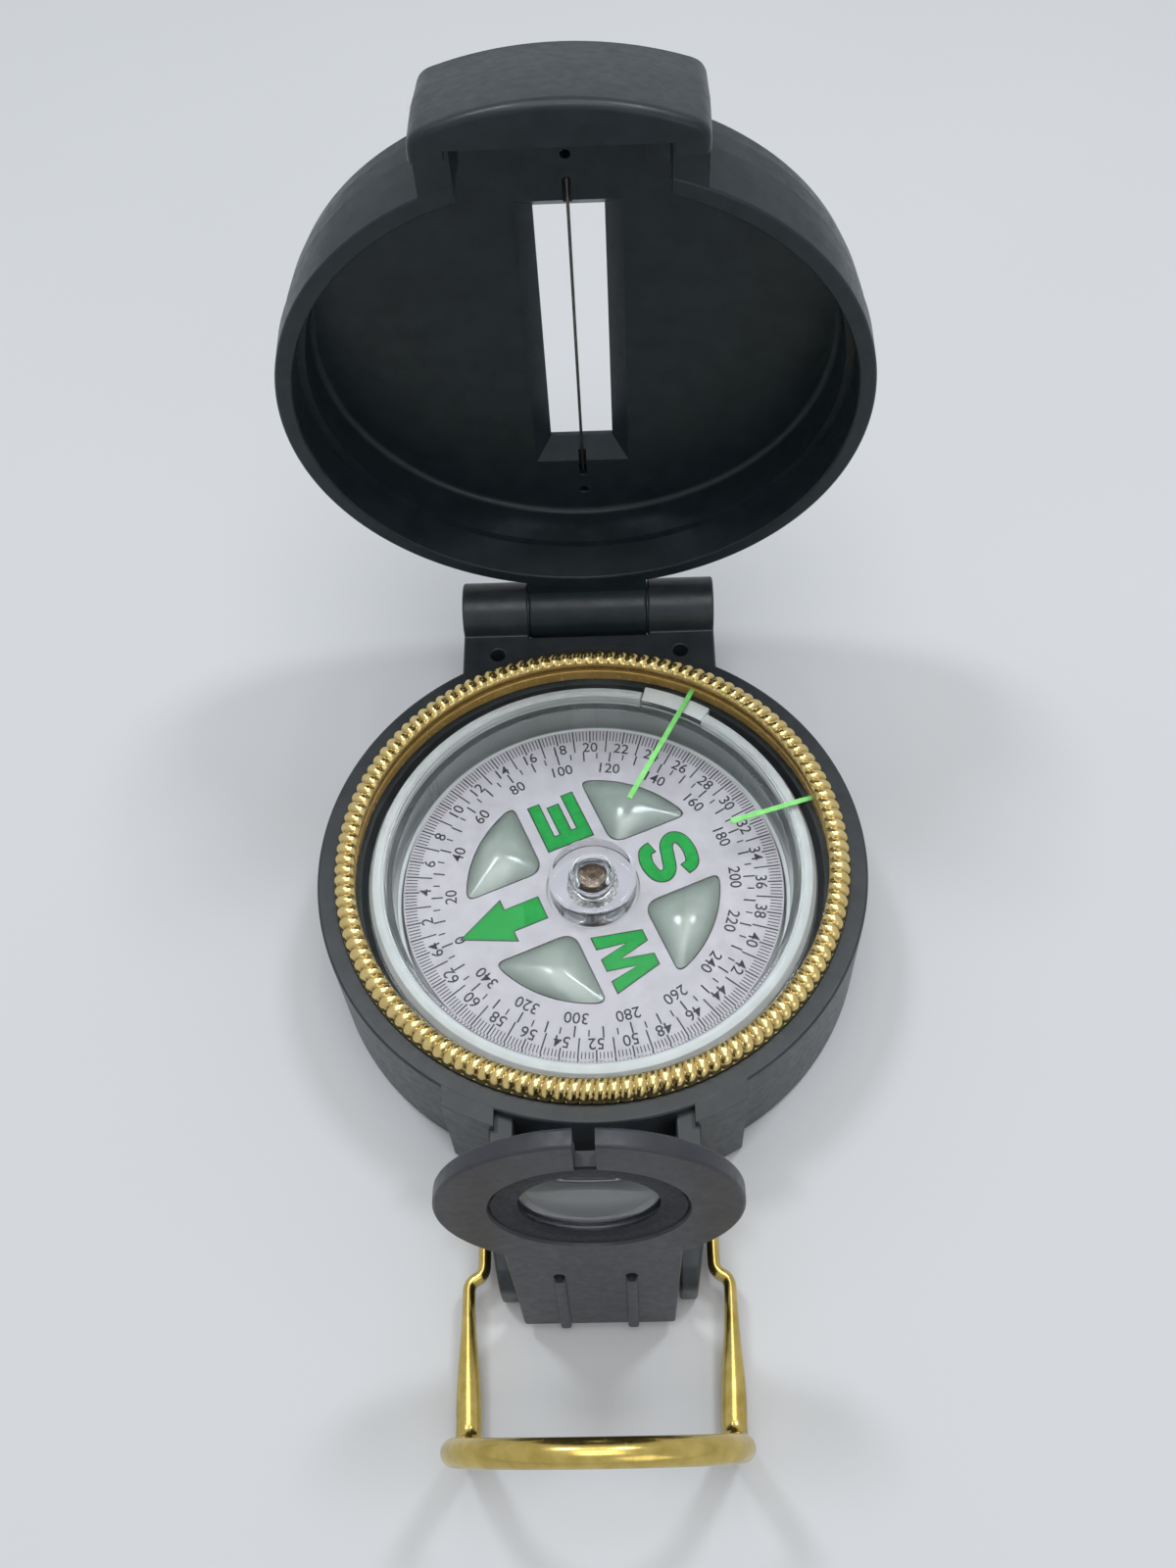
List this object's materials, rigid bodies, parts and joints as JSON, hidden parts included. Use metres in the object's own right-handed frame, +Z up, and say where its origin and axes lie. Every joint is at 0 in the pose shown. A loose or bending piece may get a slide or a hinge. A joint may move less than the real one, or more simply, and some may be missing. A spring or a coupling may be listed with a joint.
{
  "type": "sighting compass",
  "caption": "Lensatic sighting compass: round case with a floating dial, turning knurled bezel, hinged cover with sighting wire, folding lens eyepiece and wire thumb loop.",
  "frame": {"origin": "centre of the case's flat underside, on the dial's axis", "axes": "+Y from the dial's axis to the cover's hinge, away from the eyepiece; +Z up out of the dial; +X along the hinge"},
  "size_m": [0.0554, 0.1008, 0.0816],
  "materials": {
    "case_plastic": "satin moulded",
    "steel": "bright drawn",
    "clear_plastic": "clear polished",
    "seal_rubber": "matt",
    "printed_card": "printed scale",
    "milky_plastic": "translucent",
    "brass": "polished",
    "luminous_paint": "luminous"
  },
  "bodies": {
    "case": {"base_case": "case_plastic", "hinge_pin": "steel", "capsule_cup": "clear_plastic", "capsule_lid": "clear_plastic", "capsule_seal": "seal_rubber", "fill_plug": "clear_plastic", "dial_pivot": "steel"},
    "dial": {"dial_card": "printed_card", "dial_float": "milky_plastic", "dial_hub": "clear_plastic", "jewel_cup": "brass", "dial_magnet": "steel"},
    "bezel": {"bezel_ring": "brass", "bezel_glass": "clear_plastic", "marker_long": "luminous_paint", "marker_short": "luminous_paint"},
    "cover": {"cover_shell": "case_plastic", "sighting_wire": "steel"},
    "eyepiece": {"lens_bracket": "case_plastic", "lens": "clear_plastic", "lens_ring": "case_plastic"},
    "loop": {"thumb_loop": "brass"}
  },
  "joints": [
    {"name": "cover_hinge", "type": "hinge", "parent": "case", "child": "cover", "pos_m": [0, 0.03187, 0.01398], "axis": [1, 0, 0], "range_deg": [-93.8, 86.2]},
    {"name": "eyepiece_fold", "type": "hinge", "parent": "case", "child": "eyepiece", "pos_m": [0, -0.0286, 0.0038], "axis": [-1, 0, 0], "range_deg": [-5, 86.3]},
    {"name": "thumb_loop_swing", "type": "hinge", "parent": "case", "child": "loop", "pos_m": [0, -0.0286, 0.0038], "axis": [-1, 0, 0], "range_deg": [-85, 25]},
    {"name": "bezel_turn", "type": "hinge", "parent": "case", "child": "bezel", "pos_m": [0, 0, 0.0135], "axis": [0, 0, 1], "continuous": true},
    {"name": "dial_spin", "type": "hinge", "parent": "case", "child": "dial", "pos_m": [0, 0, 0.0096], "axis": [0, 0, 1], "continuous": true}
  ]
}
